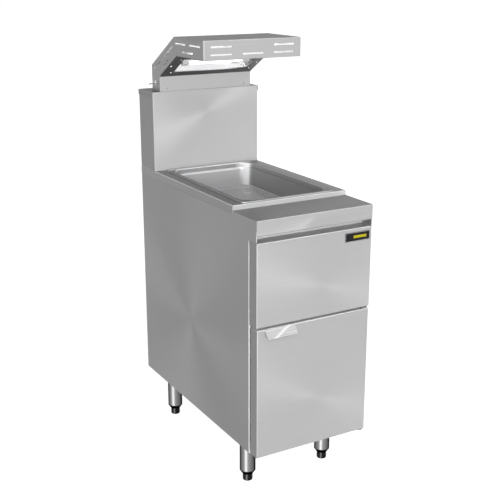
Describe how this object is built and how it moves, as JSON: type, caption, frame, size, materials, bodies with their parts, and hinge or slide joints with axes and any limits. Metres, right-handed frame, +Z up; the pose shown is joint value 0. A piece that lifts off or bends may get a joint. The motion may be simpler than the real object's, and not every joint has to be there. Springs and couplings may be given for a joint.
{
  "type": "chip dump",
  "caption": "Floor-standing chip dump: folded steel cabinet with a door on legs, a lift-out pan with a drain plate, and a cranked heat-lamp gantry over it.",
  "frame": {"origin": "floor level, under the middle of the overall box", "axes": "+X to the right, front faces -Y, +Z up"},
  "size_m": [0.403, 0.8216, 1.366],
  "materials": {
    "stainless_brushed": "brushed",
    "stainless_bright": "satin",
    "reflector_bright": "polished",
    "steel_dull": "zinc plated",
    "chrome": "polished",
    "badge_dark": "satin",
    "rubber_black": "matte",
    "plastic_black": "matte",
    "plastic_grey": "matte",
    "ceramic": "matte",
    "lamp_glass": "frosted"
  },
  "bodies": {
    "cabinet": {"badge_plate": "badge_dark", "base_panel": "stainless_brushed", "cable_gland": "plastic_black", "deck_panel": "stainless_brushed", "door_bumpers": "rubber_black", "front_panel": "stainless_brushed", "front_rail_middle": "stainless_brushed", "front_rail_upper": "stainless_brushed", "gantry_brackets": "steel_dull", "gantry_cover": "stainless_brushed", "gantry_lining": "stainless_brushed", "gantry_side_left": "stainless_brushed", "gantry_side_right": "stainless_brushed", "hinge_bracket_lower": "steel_dull", "hinge_bracket_upper": "steel_dull", "hinge_pin_lower": "steel_dull", "hinge_pin_upper": "steel_dull", "hood_lamp": "lamp_glass", "hood_lamp_holders": "ceramic", "hood_reflector": "reflector_bright", "lamp_conduit": "steel_dull", "ledge_panel": "stainless_brushed", "leg_bolts": "steel_dull", "leg_plate_front_left": "steel_dull", "leg_plate_front_right": "steel_dull", "leg_plate_rear_left": "steel_dull", "leg_plate_rear_right": "steel_dull", "leg_tube_front_left": "stainless_brushed", "leg_tube_front_right": "stainless_brushed", "leg_tube_rear_left": "stainless_brushed", "leg_tube_rear_right": "stainless_brushed", "magnet_catch": "plastic_black", "rear_panel": "stainless_brushed", "side_panel_left": "stainless_brushed", "side_panel_right": "stainless_brushed", "slope_lamp": "lamp_glass", "slope_lamp_holders": "ceramic", "slope_reflector": "reflector_bright", "splash_cap": "stainless_brushed", "splash_rear": "stainless_brushed", "splash_wrap": "stainless_brushed", "switch_body": "plastic_black", "switch_nut": "chrome", "terminal_box": "plastic_grey", "terminal_lid": "plastic_grey"},
    "door": {"door_skin": "stainless_brushed", "door_liner": "stainless_brushed", "door_pull": "stainless_brushed", "door_keeper": "steel_dull", "door_bush_upper": "plastic_black", "door_bush_lower": "plastic_black"},
    "pan": {"food_pan": "stainless_bright"},
    "insert": {"pan_insert": "stainless_bright"},
    "lever": {"switch_lever": "chrome"},
    "foot_front_left": {"leg_foot_front_left": "plastic_black"},
    "foot_front_right": {"leg_foot_front_right": "plastic_black"},
    "foot_rear_left": {"leg_foot_rear_left": "plastic_black"},
    "foot_rear_right": {"leg_foot_rear_right": "plastic_black"}
  },
  "joints": [
    {"name": "door_hinge", "type": "hinge", "parent": "cabinet", "child": "door", "pos_m": [0.186, -0.37875, 0.36675], "axis": [0, 0, 1], "range_deg": [0, 110]},
    {"name": "pan_lift", "type": "slide", "parent": "cabinet", "child": "pan", "axis": [0, 0, 1], "range_m": [0, 0.15]},
    {"name": "insert_lift", "type": "slide", "parent": "pan", "child": "insert", "axis": [0, 0, 1], "range_m": [0, 0.12]},
    {"name": "switch_tip", "type": "hinge", "parent": "cabinet", "child": "lever", "pos_m": [-0.1765, 0.33125, 1.207], "axis": [0, 1, 0], "range_deg": [0, 22]},
    {"name": "foot_front_left_screw", "type": "slide", "parent": "cabinet", "child": "foot_front_left", "axis": [0, 0, 1], "range_m": [-0.025, 0.018]},
    {"name": "foot_front_right_screw", "type": "slide", "parent": "cabinet", "child": "foot_front_right", "axis": [0, 0, 1], "range_m": [-0.025, 0.018]},
    {"name": "foot_rear_left_screw", "type": "slide", "parent": "cabinet", "child": "foot_rear_left", "axis": [0, 0, 1], "range_m": [-0.025, 0.018]},
    {"name": "foot_rear_right_screw", "type": "slide", "parent": "cabinet", "child": "foot_rear_right", "axis": [0, 0, 1], "range_m": [-0.025, 0.018]}
  ]
}
